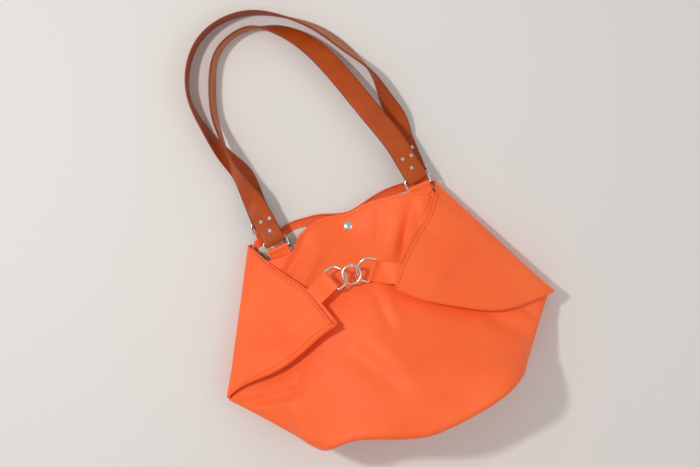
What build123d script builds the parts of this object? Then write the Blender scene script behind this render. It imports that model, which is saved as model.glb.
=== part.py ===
from build123d import *
import math
import os

# Trapeze bag, lying on its back: +Z up from the table, +Y towards the handles, +X to the viewer's right.
# The origin is on the back panel's flat outer face. Millimetres and degrees.

os.makedirs("parts", exist_ok=True)

# ---- driving dimensions ----
cloth = 2.2             # outer cloth with its interlining
lining = 0.8
seam_gap = 0.05         # slack between outer cloth and lining
back_gap = 0.3          # front shell's edge above the back panel
facing_width = 8        # band of outer cloth inside the mouth
body_top = 140          # higher than any part of the shell

strap_width = 24.6
strap_thickness = 2.4
fold_length = 32        # strap end doubled back past its ring

ring_wire = 2.6
ring_inner = 25
ring_corner = 1.5       # bend between bar and leg, on the wire's centre
handle_ring_depth = 15.5
closure_ring_depth = 17.5
link_ring_radius = 10.2  # centre of the wire
pin_radius = 0.7

tab_width = 24
tab_layer = 1.2
bar_play = 0.2          # running clearance of a ring's bar in its loop

rivet_head = 2.4
rivet_shank = 1.1
snap_radius = 7
cap_radius = 5.5


# ---- helpers ----
def heading(azimuth, pitch=0.0):
    """Direction at an azimuth from +X and a pitch above the table."""
    a = math.radians(azimuth)
    p = math.radians(pitch)
    return Vector(math.cos(p) * math.cos(a), math.cos(p) * math.sin(a), math.sin(p))


def side_plane(origin, azimuth, pitch=0.0):
    """Plane seen from the side: local X along the heading, local Y upwards."""
    a = math.radians(azimuth)
    return Plane(origin=origin, x_dir=heading(azimuth, pitch), z_dir=(math.sin(a), -math.cos(a), 0))


def ring_plane(origin, azimuth, pitch=0.0, roll=0.0):
    """Plane of a ring: local X from its bar to its far side, rolled about that line."""
    a = math.radians(azimuth)
    r = math.radians(roll)
    along = heading(azimuth, pitch)
    across = Vector(-math.sin(a), math.cos(a), 0)
    up = along.cross(across)
    tilted = across * math.cos(r) + up * math.sin(r)
    return Plane(origin=origin, x_dir=along, z_dir=along.cross(tilted))


# ---- outer form of the body: cross-sections from the mouth to the base ----
def left_edge(y):
    """Left outline of the body seen from above."""
    return -204 + 0.484 * (y + 22) if y > -22 else -204 - 1.09 * (y + 22)


def right_edge(y):
    """Right outline of the body seen from above."""
    return 183 - 0.53 * (y + 24) if y > -22 else 181 + 0.88 * (y + 22)


# y, then heights at the left edge, left shoulder, left half, middle, right half, right shoulder and right edge
mouth_sections = [
    (152, 11, 23, 23, 10.8, 23, 24, 11),
    (118, 11, 24, 26, 10.8, 27, 25, 11),
    (85, 12, 26, 38, 27, 37, 27, 12),
    (40, 13, 30, 52, 60, 47, 30, 13),
    (-22, 20, 34, 65, 84, 58, 38, 22),
]
base_sections = [
    (-22, 20, 34, 65, 84, 58, 38, 22),
    (-60, 42, 62, 89, 100, 86, 62, 42),
    (-100, 80, 104, 110, 111, 110, 104, 80),
    (-126, 90, 110, 113, 114, 113, 110, 90),
]
foot_tuck = 9           # the sides draw in towards the table
foot_depth = -4


def section_points(section):
    """Points round one cross-section, from the left foot over the top to the right foot."""
    y, *heights = section
    left, right = left_edge(y), right_edge(y)
    middle, half = (left + right) / 2, (right - left) / 2
    stations = (-1, -0.86, -0.5, 0, 0.5, 0.86, 1)
    points = [(left + foot_tuck, foot_depth)]
    points += [(middle + s * half, z) for s, z in zip(stations, heights)]
    return points + [(right - foot_tuck, foot_depth)]


def moved_in(points, inset):
    """The same curve shifted inwards by a wall thickness."""
    moved = []
    for i, (x, z) in enumerate(points):
        x0, z0 = points[max(i - 1, 0)]
        x1, z1 = points[min(i + 1, len(points) - 1)]
        length = math.hypot(x1 - x0, z1 - z0)
        moved.append((x + inset * (z1 - z0) / length, z - inset * (x1 - x0) / length))
    return moved


def body_form(inset):
    """Closed solid of the body, its wall moved in by inset."""
    with BuildPart() as form:
        for sections in (mouth_sections, base_sections):
            for section in sections:
                points = moved_in(section_points(section), inset)
                # the plane's local X is the bag's X and its local Y is up
                with BuildSketch(Plane(origin=(0, section[0], 0), x_dir=(1, 0, 0), z_dir=(0, -1, 0))):
                    with BuildLine():
                        Spline(*points)
                        Polyline(points[-1], (points[-1][0], foot_depth - 2),
                                 (points[0][0], foot_depth - 2), points[0])
                    make_face()
            loft()
    return form.part


outer_form = body_form(0)
cloth_form = body_form(cloth)
lining_form = body_form(cloth + seam_gap)
hollow_form = body_form(cloth + seam_gap + lining)


# ---- outlines seen from above ----
front_rim = [(-175, 113), (-112, 113), (-86, 112), (-60, 132), (-27, 138), (15, 138.5), (60, 135), (90, 128), (150, 112)]
back_rim = [(-125, 138), (-87, 143), (-57, 146), (-27, 141), (-8, 137), (26, 144), (62, 147), (95, 140)]
base_arc = [(-119, -100), (-2, -120), (113, -99)]
side_reach = 240


def front_outline(rim_shift=0.0, base_shift=0.0):
    """Outline of the front: curved rim at the mouth, bowed edge at the base."""
    rim = [(x, y + rim_shift) for x, y in front_rim]
    arc = [(x, y + base_shift) for x, y in base_arc]
    with BuildSketch() as outline:
        with BuildLine():
            Spline(*rim)
            Polyline(rim[-1], (side_reach, rim[-1][1]), (side_reach, arc[2][1]), arc[2])
            ThreePointArc(*arc)
            Polyline(arc[0], (-side_reach, arc[0][1]), (-side_reach, rim[0][1]), rim[0])
        make_face()
    return outline.sketch


def back_outline(side_inset, rim_shift=0.0, base_y=-100.0):
    """Outline of the back: rim at the mouth, slanted sides and a straight base."""
    rim = [(x, y + rim_shift) for x, y in back_rim]
    left, right = side_inset, -side_inset
    with BuildSketch() as outline:
        with BuildLine():
            Spline(*rim)
            Polyline(rim[-1], (99 + right, 131 + rim_shift), (181 + right, -22), (114 + right, base_y),
                     (-118 + left, base_y), (-204 + left, -22), (-127 + left, 134 + rim_shift), rim[0])
        make_face()
    return outline.sketch


# ---- back: outer panel, lining and facing, flat on the table ----
back_side_inset = 7
snap_place = (-12, 121)
cap_height = 1.0
post_radius = 1.6
stud_top = 5.0
socket_bottom = 4.4
socket_top = 6.9
cap_seat = 10.1

with BuildPart() as back_panel:
    add(back_outline(back_side_inset))
    extrude(amount=cloth)
    with Locations((*snap_place, 0)):
        Cylinder(cap_radius, cap_height, align=(Align.CENTER, Align.CENTER, Align.MIN), mode=Mode.SUBTRACT)
        Cylinder(post_radius, cloth, align=(Align.CENTER, Align.CENTER, Align.MIN), mode=Mode.SUBTRACT)
back_panel.part.label = "back_panel"

with BuildPart() as lining_back:
    with BuildSketch(Plane.XY.offset(cloth)):
        add(back_outline(back_side_inset + 5, -facing_width, -95.5))
    extrude(amount=lining)
    with Locations((*snap_place, cloth)):
        Cylinder(post_radius, lining, align=(Align.CENTER, Align.CENTER, Align.MIN), mode=Mode.SUBTRACT)
lining_back.part.label = "lining_back"

with BuildPart() as rim_facing_back:
    with BuildSketch(Plane.XY.offset(cloth)):
        add(back_outline(back_side_inset + 5, -0.5))
        add(back_outline(back_side_inset - 20, 0.1 - facing_width, -120), mode=Mode.SUBTRACT)
    extrude(amount=lining)
rim_facing_back.part.label = "rim_facing_back"


# ---- rings and the bands that hold them ----
def d_ring(plane, depth, nose_radius, shoulder_radius):
    """D-ring of round wire: straight bar at the plane's origin, far side at local X = depth."""
    half = (ring_inner + ring_wire) / 2
    rise = half - shoulder_radius
    turn = math.asin(rise / (nose_radius - shoulder_radius))
    nose = depth - nose_radius
    shoulder = nose + (nose_radius - shoulder_radius) * math.cos(turn)
    side = math.degrees(turn)
    with BuildPart() as ring:
        with BuildLine(plane) as path:
            Line((0, 0), (0, half - ring_corner))
            CenterArc((ring_corner, half - ring_corner), ring_corner, 180, -90)
            Line((ring_corner, half), (shoulder, half))
            CenterArc((shoulder, rise), shoulder_radius, 90, side - 90)
            CenterArc((nose, 0), nose_radius, side, -side)
        with BuildSketch(Plane(origin=plane.origin, x_dir=plane.x_dir, z_dir=plane.y_dir)):
            Circle(ring_wire / 2)
        sweep(path=path.wires()[0])
        mirror(about=Plane(origin=plane.origin, z_dir=plane.y_dir))
    return ring.part


def across_plane(ring, lift=0.0):
    """Side view of what a ring's bar carries: local Z along the bar, local X tipped up by lift."""
    tip = math.radians(lift)
    along = ring.x_dir * math.cos(tip) + ring.z_dir * math.sin(tip)
    return Plane(origin=ring.origin, x_dir=along, z_dir=ring.y_dir * -1)


def ring_band(plane, length, width):
    """Cloth band folded round a ring's bar, its doubled tail running back by length."""
    bore = ring_wire / 2 + bar_play
    with BuildPart() as band:
        with BuildSketch(plane):
            Circle(bore + tab_layer)
            with Locations((-length / 2, 0)):
                Rectangle(length, 2 * tab_layer)
            Circle(bore, mode=Mode.SUBTRACT)
        extrude(amount=width / 2, both=True)
    return band.part


# front bars share one line, back bars another
front_azimuth = 94.9
front_bars = {"front_left": (-95, 122.5, 27), "front_right": (79, 137.4, 27)}
back_bars = {"back_left": (-103, 147, 8), "back_right": (81, 147, 8)}
band_tilt = {"front_left": 14, "front_right": 14, "back_left": 15, "back_right": 15}
band_length = {"front_left": 19, "front_right": 15, "back_left": 14.4, "back_right": 14.4}
ring_planes = {name: ring_plane(place, front_azimuth) for name, place in front_bars.items()}
ring_planes.update({name: ring_plane(place, 90) for name, place in back_bars.items()})

handle_rings = {}
handle_bands = {}
for name, plane in ring_planes.items():
    handle_rings[name] = d_ring(plane, handle_ring_depth, 18, 7.5)
    handle_bands[name] = ring_band(across_plane(plane, band_tilt[name]), band_length[name], tab_width)
    handle_rings[name].label = name + "_ring"
    handle_bands[name].label = name + "_tab"



def plane_through(a, b, c):
    """Plane through three points, facing up."""
    normal = (Vector(*b) - Vector(*a)).cross(Vector(*c) - Vector(*a))
    return Plane(origin=a, z_dir=normal if normal.Z > 0 else normal * -1)


def closure_tab(ring, corner_plane, edge_spot):
    """Loop round a closure ring's bar, then a soft band that twists into the folded corner."""
    loop_tail = 4
    middle = corner_plane.offset(-cloth - pocket / 2)
    x, y = edge_spot
    slope = middle.z_dir
    z = middle.origin.Z - (slope.X * (x - middle.origin.X) + slope.Y * (y - middle.origin.Y)) / slope.Z
    tail = ring.origin - ring.x_dir * loop_tail
    edge = Vector(x, y, z)
    across = ring.y_dir - slope * ring.y_dir.dot(slope)
    inwards = across.cross(slope)
    if inwards.dot(edge - tail) < 0:
        inwards = inwards * -1
    with BuildPart() as tab:
        add(ring_band(across_plane(ring), loop_tail, tab_width))
        with BuildSketch(Plane(origin=tail, x_dir=ring.y_dir, z_dir=ring.x_dir * -1)):
            Rectangle(tab_width, 2 * tab_layer)
        with BuildSketch(Plane(origin=edge, x_dir=across, z_dir=inwards)):
            Rectangle(tab_width, 2 * tab_layer)
        loft()
        with BuildSketch(Plane(origin=edge, x_dir=across, z_dir=inwards)):
            Rectangle(tab_width, 2 * tab_layer)
        extrude(amount=10)
    return tab.part


# the two closure rings lie across the front, each hanging in a band from its folded corner
pocket = 2 * tab_layer + 0.2
left_corner_plane = plane_through((-127, 137, 20), (-204, -20, 30), (-59, 25, 85))
right_corner_plane = plane_through((97, 134, 22), (183, -27, 36), (15, 39, 76))
left_closure = ring_plane((-49.24, 69.40, 60.09), 18.57, -12.53, -25.19)
right_closure = ring_plane((-2.60, 65.26, 58.93), 149.33, 14.9, -19.98)
left_d_ring = d_ring(left_closure, closure_ring_depth, 16.5, 9)
right_d_ring = d_ring(right_closure, closure_ring_depth, 16.5, 9)
left_closure_tab = closure_tab(left_closure, left_corner_plane, (-75, 58))
right_closure_tab = closure_tab(right_closure, right_corner_plane, (25.5, 51.5))
left_d_ring.label = "left_d_ring"
right_d_ring.label = "right_d_ring"
left_closure_tab.label = "left_closure_tab"
right_closure_tab.label = "right_closure_tab"

# ---- middle ring: two half circles, pinned at one end and meeting at the other ----
link_centre = (-25.70, 68.65, 59.98)
link_top = -27.2        # azimuth of the ring's raised side
link_tilt = 4.5
hinge_angle = 98        # round the ring from its raised side
closing_angle = 273
knuckle_radius = 2.0
knuckle_gap = 0.06
half_wire = ring_wire / 2

link_plane = ring_plane(link_centre, link_top, link_tilt)
hinge_turn = math.radians(hinge_angle)
hinge_spot = (link_ring_radius * math.cos(hinge_turn), link_ring_radius * math.sin(hinge_turn))
hinge_plane = Plane(origin=link_plane.from_local_coords((*hinge_spot, 0)),
                    x_dir=link_plane.x_dir, z_dir=link_plane.z_dir)
meeting_gap = 1.4       # degrees left open where the halves meet


def half_ring(start, size, knuckle_side):
    """Half of the middle ring, with half of the pinned knuckle (side +1 above, -1 below)."""
    with BuildPart() as half:
        with BuildLine(link_plane) as path:
            arc = CenterArc((0, 0), link_ring_radius, start, size)
        with BuildSketch(Plane(origin=arc @ 0, z_dir=arc % 0)):
            Circle(half_wire)
        sweep(path=path.wires()[0])
        with BuildSketch(hinge_plane):
            Circle(knuckle_radius + 2 * knuckle_gap)
        extrude(amount=-knuckle_side * 2 * ring_wire, mode=Mode.SUBTRACT)
        with BuildSketch(hinge_plane.offset(knuckle_side * knuckle_gap)):
            Circle(knuckle_radius)
        extrude(amount=knuckle_side * (half_wire - knuckle_gap))
    return half.part


with BuildPart() as link_ring:
    add(half_ring(hinge_angle + 4, closing_angle - hinge_angle - 4, -1))
    with BuildSketch(hinge_plane):
        Circle(pin_radius)
    extrude(amount=-2 * ring_wire, mode=Mode.SUBTRACT)
link_ring.part.label = "link_ring"

with BuildPart() as link_gate:
    gate_start = closing_angle + meeting_gap
    add(half_ring(gate_start, hinge_angle + 360 - 4 - gate_start, 1))
    with BuildSketch(hinge_plane):
        Circle(pin_radius + 0.05)
    extrude(amount=2 * ring_wire, mode=Mode.SUBTRACT)
link_gate.part.label = "link_gate"

with BuildPart() as gate_pin:
    with BuildSketch(hinge_plane.offset(-half_wire)):
        Circle(pin_radius)
    extrude(amount=ring_wire)
    with BuildSketch(hinge_plane.offset(half_wire + 0.05)):
        Circle(1.1)
    extrude(amount=0.4)
    with BuildSketch(hinge_plane.offset(half_wire - 0.1)):
        Circle(pin_radius)
    extrude(amount=0.3)
gate_pin.part.label = "gate_pin"


# ---- front shell, its lining and facing ----
snap_plane = Plane(origin=(*snap_place, 0))
with BuildPart() as snap_seats:
    with BuildSketch(snap_plane):
        Circle(snap_radius + 0.05)
    extrude(amount=socket_top)
    with BuildSketch(snap_plane):
        Circle(post_radius)
    extrude(amount=body_top)
    with BuildSketch(snap_plane.offset(cap_seat)):
        Circle(cap_radius + 0.05)
    extrude(amount=10)

with BuildPart() as front_panel:
    with BuildSketch(Plane.XY.offset(cloth + back_gap)):
        add(front_outline())
    extrude(amount=body_top)
    add(outer_form, mode=Mode.INTERSECT)
    add(cloth_form, mode=Mode.SUBTRACT)
    add(snap_seats.part, mode=Mode.SUBTRACT)
    for name in front_bars:
        add(handle_bands[name], mode=Mode.SUBTRACT)
front_panel.part.label = "front_panel"

lining_base = -94
with BuildPart() as lining_front:
    with BuildSketch(Plane.XY.offset(cloth + lining + back_gap)):
        add(front_outline(-facing_width))
        with Locations((0, lining_base)):
            Rectangle(3 * side_reach, 60, align=(Align.CENTER, Align.MAX), mode=Mode.SUBTRACT)
    extrude(amount=body_top)
    add(lining_form, mode=Mode.INTERSECT)
    add(hollow_form, mode=Mode.SUBTRACT)
    add(snap_seats.part, mode=Mode.SUBTRACT)
    for name in front_bars:
        add(handle_bands[name], mode=Mode.SUBTRACT)
lining_front.part.label = "lining_front"

with BuildPart() as rim_facing_front:
    with BuildSketch(Plane.XY.offset(cloth + lining + back_gap)):
        add(front_outline(-0.5))
        add(front_outline(0.1 - facing_width, -60), mode=Mode.SUBTRACT)
        # the band runs between the handle tabs
        with Locations((-6, 0)):
            Rectangle(156, 400, mode=Mode.INTERSECT)
    extrude(amount=body_top)
    add(lining_form, mode=Mode.INTERSECT)
    add(hollow_form, mode=Mode.SUBTRACT)
    for name in front_bars:
        add(handle_bands[name], mode=Mode.SUBTRACT)
rim_facing_front.part.label = "rim_facing_front"

# ---- base: panel bowed out along its top edge, and a board inside it ----
foot_arc = [(-112, -99.5), (-3, -103), (107, -99)]
base_height = 120


def arc_strip(outer, shift, thickness):
    """Curved strip seen from above: an arc and the same arc moved in."""
    a = [(x, y + shift) for x, y in outer]
    b = [(x, y + shift + thickness) for x, y in outer]
    with BuildSketch() as strip:
        with BuildLine():
            ThreePointArc(*a)
            Line(a[2], b[2])
            ThreePointArc(*b)
            Line(b[0], a[0])
        make_face()
    return strip.sketch


with BuildPart() as base_panel:
    with BuildSketch(Plane.XY.offset(cloth + back_gap)):
        add(arc_strip(foot_arc, 0, cloth))
    with BuildSketch(Plane.XY.offset(base_height)):
        add(arc_strip(base_arc, 0, cloth))
    loft(ruled=True)
    add(cloth_form, mode=Mode.INTERSECT)
base_panel.part.label = "base_panel"

board_foot = [(-96, -96.8), (-3, -100.2), (92, -96.4)]
board_top = [(-96, -94.6), (-2, -112), (92, -94)]
with BuildPart() as base_board:
    with BuildSketch(Plane.XY.offset(8)):
        add(arc_strip(board_foot, 0, 1.6))
    with BuildSketch(Plane.XY.offset(100)):
        add(arc_strip(board_top, -2, 1.6))
    loft(ruled=True)
    add(base_panel.part, mode=Mode.SUBTRACT)
base_board.part.label = "base_board"

# ---- folded corners: two layers joined along the lower edge, open along the rim ----
wing_depth = 2 * cloth + pocket
seam_allowance = 5


def wing(rim, hem, fold_inset, tilt_plane, tab):
    """Folded corner: outline from above, cut from a slab lying in the corner's slanted plane."""
    def outline(hem_shift, rim_shift, fold_shift):
        hem_points = [(x, y + hem_shift) for x, y in hem]
        rim_points = [(x, y + rim_shift) for x, y in rim]
        rim_points[0] = (rim_points[0][0] + fold_shift, rim_points[0][1])
        hem_points[-1] = (hem_points[-1][0] + fold_shift, hem_points[-1][1])
        with BuildSketch() as shape:
            with BuildLine():
                Spline(*rim_points)
                Line(rim_points[-1], hem_points[0])
                Spline(*hem_points)
                Line(hem_points[-1], rim_points[0])
            make_face()
        return shape.sketch

    with BuildPart() as layer_gap:
        with BuildSketch():
            add(outline(seam_allowance, 4, fold_inset))
        extrude(amount=body_top)
        with BuildSketch(tilt_plane.offset(-cloth)):
            Rectangle(900, 900)
        extrude(amount=-pocket, mode=Mode.INTERSECT)
    with BuildPart() as corner:
        with BuildSketch():
            add(outline(0, 0, 0))
        extrude(amount=body_top)
        with BuildSketch(tilt_plane):
            Rectangle(900, 900)
        extrude(amount=-wing_depth, mode=Mode.INTERSECT)
        add(layer_gap.part, mode=Mode.SUBTRACT)
        add(outer_form, mode=Mode.SUBTRACT)
        add(tab, mode=Mode.SUBTRACT)
    return corner.part


left_wing = wing([(-127, 137), (-114, 114), (-80, 66), (-59, 26)],
                 [(-59, 24), (-104, 6), (-160, -8), (-204, -21)],
                 8, left_corner_plane, left_closure_tab)
right_wing = wing([(98, 134), (86, 110), (47, 76), (15, 40)],
                  [(15, 38), (52, 10), (98, -15), (146, -26), (184, -28)],
                  -8, right_corner_plane, right_closure_tab)
left_wing.label = "left_wing"
right_wing.label = "right_wing"

# ---- mouth snap: caps outside, halves inside, on one axis ----
with BuildPart() as snap_back_cap:
    with BuildSketch(snap_plane):
        Circle(cap_radius)
    extrude(amount=cap_height)
    fillet(snap_back_cap.edges().group_by(Axis.Z)[0], 0.3)
    with BuildSketch(snap_plane.offset(cap_height)):
        Circle(post_radius)
    extrude(amount=cloth + lining - cap_height)
snap_back_cap.part.label = "snap_back_cap"

with BuildPart() as snap_stud:
    with BuildSketch(snap_plane.offset(cloth + lining)):
        Circle(snap_radius)
    extrude(amount=stud_top - cloth - lining - 0.8)
    with BuildSketch(snap_plane.offset(stud_top - 0.8)):
        Circle(snap_radius - 3)
    extrude(amount=0.8)
snap_stud.part.label = "snap_stud"

with BuildPart() as snap_socket:
    with BuildSketch(snap_plane.offset(socket_bottom)):
        Circle(snap_radius)
    extrude(amount=socket_top - socket_bottom)
    with BuildSketch(snap_plane.offset(socket_bottom)):
        Circle(snap_radius - 2.7)
    extrude(amount=0.9, mode=Mode.SUBTRACT)
snap_socket.part.label = "snap_socket"

with BuildPart() as snap_front_cap:
    with BuildSketch(snap_plane.offset(cap_seat)):
        Circle(cap_radius)
    extrude(amount=1.4)
    fillet(snap_front_cap.edges().group_by(Axis.Z)[-1], 0.8)
    with BuildSketch(snap_plane.offset(socket_top)):
        Circle(post_radius)
    extrude(amount=cap_seat - socket_top)
snap_front_cap.part.label = "snap_front_cap"


# ---- handles: strap ends folded round the rings, then a ribbon that rolls onto its edge ----
def strap_end_plane(ring):
    """Side view of a strap end: origin at the ring's far side, local X away from the bag."""
    far = ring.origin + ring.x_dir * handle_ring_depth
    return Plane(origin=far, x_dir=ring.x_dir, z_dir=ring.y_dir * -1)


def rivet_set(ring):
    """Three rivets with domed heads through both layers: one near the ring, two side by side."""
    end = strap_end_plane(ring)
    with BuildPart() as rivets:
        for along, aside, seat in ((6.5, 0, 2.95), (19.5, -5.3, 2.4), (19.5, 5.3, 2.4)):
            spot = end.origin + end.x_dir * along + end.z_dir * aside
            for side in (1, -1):
                with BuildSketch(Plane(origin=spot, x_dir=end.x_dir, z_dir=end.y_dir * side)):
                    Circle(rivet_shank)
                extrude(amount=seat + 0.4)
                with BuildSketch(Plane(origin=spot + end.y_dir * side * seat, x_dir=end.x_dir,
                                       z_dir=end.y_dir * side)):
                    Circle(rivet_head)
                extrude(amount=0.9, taper=25)
    return rivets.part


def strap_end(ring, top_layer):
    """Doubled strap end: teardrop round the ring's wire, flap, and one layer running on."""
    end = strap_end_plane(ring)
    bore = half_wire + bar_play
    side = 1 if top_layer else -1
    with BuildPart() as doubled:
        with BuildSketch(end):
            with BuildLine():
                CenterArc((-6.6, 0), bore + strap_thickness, 0, 360)
                CenterArc((0.1, 0), bore + strap_thickness, 0, 360)
                Line((11, strap_thickness), (11, -strap_thickness))
            make_hull()
            with Locations((8, 0)):
                Rectangle(fold_length - 10, 2 * strap_thickness, align=(Align.MIN, Align.CENTER))
            with Locations((fold_length - 4, side * strap_thickness / 2)):
                Rectangle(6, strap_thickness, align=(Align.MIN, Align.CENTER))
            with Locations((-3.25, 0)):
                SlotCenterToCenter(6.7, 2 * bore, mode=Mode.SUBTRACT)
        extrude(amount=strap_width / 2, both=True)
    return doubled.part


def ribbon_planes(stations, roll_sense):
    """Planes across the strap at each station: local X over its width, local Y its thickness."""
    planes = []
    for i, (x, y, z, roll) in enumerate(stations):
        before = Vector(*stations[max(i - 1, 0)][:3])
        after = Vector(*stations[min(i + 1, len(stations) - 1)][:3])
        ahead = (after - before).normalized()
        level = ahead.cross(Vector(0, 0, 1)).normalized()
        up = level.cross(ahead)
        r = math.radians(roll * roll_sense)
        planes.append(Plane(origin=(x, y, z), x_dir=level * math.cos(r) + up * math.sin(r), z_dir=ahead))
    return planes


def handle(first_ring, last_ring, stations, roll_sense, top_layer):
    """One handle: a folded end at each ring and the ribbon between them."""
    lift = strap_thickness / 2 if top_layer else -strap_thickness / 2
    ends = []
    for ring in (first_ring, last_ring):
        end = strap_end_plane(ring)
        ends.append(end.origin + end.x_dir * (fold_length + 1) + end.y_dir * lift)
    start, finish = ((p.X, p.Y, p.Z, 0) for p in ends)
    path = [start] + stations + [finish]
    planes = ribbon_planes(path, roll_sense)
    # both ends of the ribbon lie flat and square to the folded strap ends
    for index, ring, sense in ((0, first_ring, 1), (-1, last_ring, -1)):
        planes[index] = Plane(origin=planes[index].origin, x_dir=ring.y_dir * -sense, z_dir=ring.x_dir * sense)
    with BuildPart() as strap:
        # lofted in short lengths, so that the twist stays with its corners
        for first in range(0, len(planes) - 1, 3):
            for plane in planes[first:first + 4]:
                with BuildSketch(plane):
                    Rectangle(strap_width, strap_thickness)
            loft()
        for ring in (first_ring, last_ring):
            add(strap_end(ring, top_layer))
            add(rivet_set(ring), mode=Mode.SUBTRACT)
    return strap.part


# x, y, z and roll from flat (0) to standing on edge (90)
front_stations = [
    (-105, 190, 27.5, 38), (-111, 215, 28, 62), (-114, 240, 28, 78), (-115.5, 264, 21, 87),
    (-114.5, 290, 14, 90), (-106, 323, 12.6, 90),
    (-88, 356, 12.6, 90), (-66, 368.5, 12.8, 84), (-42, 370, 14, 60), (-18, 360, 16, 36), (8, 336, 19, 16),
    (35, 285, 22, 4), (58, 223, 25, 0),
]
back_stations = [
    (-107, 216, 8.6, 24), (-116.5, 238, 9.8, 46), (-130, 278, 12.6, 76), (-136, 315, 12.6, 90),
    (-126, 350, 12.6, 90), (-104, 376, 12.6, 90), (-70, 389, 12.6, 90), (-35, 386, 12.6, 90), (-3, 370, 12.8, 98),
    (28, 345, 13.6, 110), (54, 309, 13.6, 108), (73, 272, 12.8, 86), (82, 240, 10.8, 52), (84, 216, 8.6, 22),
]
front_handle = handle(ring_planes["front_left"], ring_planes["front_right"], front_stations, 1, True)
back_handle = handle(ring_planes["back_left"], ring_planes["back_right"], back_stations, -1, False)
front_handle.label = "front_handle"
back_handle.label = "back_handle"

rivets = {}
for name, plane in ring_planes.items():
    rivets[name] = rivet_set(plane)
    rivets[name].label = name + "_rivets"

# ---- write every piece ----
pieces = [back_panel.part, lining_back.part, rim_facing_back.part, front_panel.part, lining_front.part,
          rim_facing_front.part, base_panel.part, base_board.part, left_wing, right_wing,
          left_closure_tab, right_closure_tab, left_d_ring, right_d_ring, link_ring.part, link_gate.part,
          gate_pin.part, snap_back_cap.part, snap_stud.part, snap_socket.part, snap_front_cap.part,
          front_handle, back_handle]
pieces += [*handle_rings.values(), *handle_bands.values(), *rivets.values()]
for piece in pieces:
    export_step(piece, f"parts/{piece.label}.step")
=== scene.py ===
import bpy
import math
import numpy as np
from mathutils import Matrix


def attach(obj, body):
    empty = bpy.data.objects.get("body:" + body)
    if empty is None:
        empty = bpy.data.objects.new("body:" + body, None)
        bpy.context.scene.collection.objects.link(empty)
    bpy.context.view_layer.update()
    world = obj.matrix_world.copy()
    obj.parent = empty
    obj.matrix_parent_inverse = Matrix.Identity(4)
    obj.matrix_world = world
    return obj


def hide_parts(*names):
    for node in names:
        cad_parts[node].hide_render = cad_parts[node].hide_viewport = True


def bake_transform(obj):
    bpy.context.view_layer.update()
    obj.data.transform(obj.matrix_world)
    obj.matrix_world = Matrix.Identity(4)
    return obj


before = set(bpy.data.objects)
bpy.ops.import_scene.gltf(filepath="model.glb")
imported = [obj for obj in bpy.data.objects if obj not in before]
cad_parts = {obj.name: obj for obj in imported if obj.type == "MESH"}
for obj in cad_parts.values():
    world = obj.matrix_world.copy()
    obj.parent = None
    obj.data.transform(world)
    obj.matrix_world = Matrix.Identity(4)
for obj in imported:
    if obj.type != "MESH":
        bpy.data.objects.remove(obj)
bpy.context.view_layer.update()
bpy.ops.object.select_all(action="DESELECT")

# metres in a millimetre: the pieces are drawn in mm, and the camera, lights and table in metres
mm = 0.001

# the photograph's view, from above and a little turned, with a hard key light from the upper left
shot = {"place": (-0.0125, 0.112, 1.4), "turn": -19, "lens": 62.6, "sensor": 36}
studio = {
    "floor": (0.755, 0.728, 0.705), "floorShade": 0.97, "floorRough": 0.9, "floorSpecular": 0.1,
    "tableSize": 40, "tableDrop": -0.0004, "world": 0.565, "worldTint": (1, 0.99, 0.975),
    "keyLight": {"place": (-0.62, 0.56, 1.28), "power": 8.9, "size": 0.12, "tint": (1, 0.985, 0.96)},
    "fillLight": {"place": (1.3, -0.5, 1.5), "power": 4.6, "size": 1.6, "tint": (0.98, 0.985, 1)},
}

bpy.ops.object.camera_add(location=shot["place"], rotation=(0, 0, math.radians(shot["turn"])))
camera = bpy.context.object
camera.name = "camera"
camera.data.lens = shot["lens"]
camera.data.sensor_width = shot["sensor"]
bpy.context.scene.camera = camera
bpy.context.scene.view_settings.view_transform = "Standard"

bpy.ops.mesh.primitive_plane_add(size=studio["tableSize"], location=(0, 0, studio["tableDrop"]))
table = bpy.context.object
table.name = "table"

for name in ("keyLight", "fillLight"):
    look = studio[name]
    bpy.ops.object.light_add(type="AREA", location=look["place"])
    lamp = bpy.context.object
    lamp.name = name
    lamp.data.energy = look["power"]
    lamp.data.color = look["tint"]
    lamp.data.shape = "DISK"
    lamp.data.size = look["size"]
    lamp.rotation_euler = (-lamp.location).to_track_quat("-Z", "Y").to_euler()   # aimed at the bag

world = bpy.data.worlds.new("room")
bpy.context.scene.world = world
world.use_nodes = True
world.node_tree.nodes["Background"].inputs["Color"].default_value = (*studio["worldTint"], 1)
world.node_tree.nodes["Background"].inputs["Strength"].default_value = studio["world"]
print("camera, table and light done")


# smooth lines
def throughPoints(stops, values):   # natural cubic curve through values at stops, as a callable
    stops = np.asarray(stops, float)
    values = np.asarray(values, float)
    gaps = np.diff(stops)
    count = len(stops)
    system = np.eye(count)
    right = np.zeros(values.shape)
    for i in range(1, count - 1):
        system[i, i - 1:i + 2] = gaps[i - 1], 2 * (gaps[i - 1] + gaps[i]), gaps[i]
        right[i] = 6 * ((values[i + 1] - values[i]) / gaps[i] - (values[i] - values[i - 1]) / gaps[i - 1])
    bend = np.linalg.solve(system, right)

    def at(x):
        x = np.clip(np.asarray(x, float), stops[0], stops[-1])
        i = np.clip(np.searchsorted(stops, x, side="right") - 1, 0, count - 2)
        gap, ahead, behind = gaps[i], stops[i + 1] - x, x - stops[i]
        if values.ndim > 1:
            gap, ahead, behind = gap[..., None], ahead[..., None], behind[..., None]
        return ((bend[i] * ahead ** 3 + bend[i + 1] * behind ** 3) / (6 * gap)
                + (values[i] / gap - bend[i] * gap / 6) * ahead
                + (values[i + 1] / gap - bend[i + 1] * gap / 6) * behind)
    return at


def distances(points):   # how far along a line each of its points lies
    return np.concatenate([[0], np.cumsum(np.linalg.norm(np.diff(points, axis=0), axis=1))])


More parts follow.
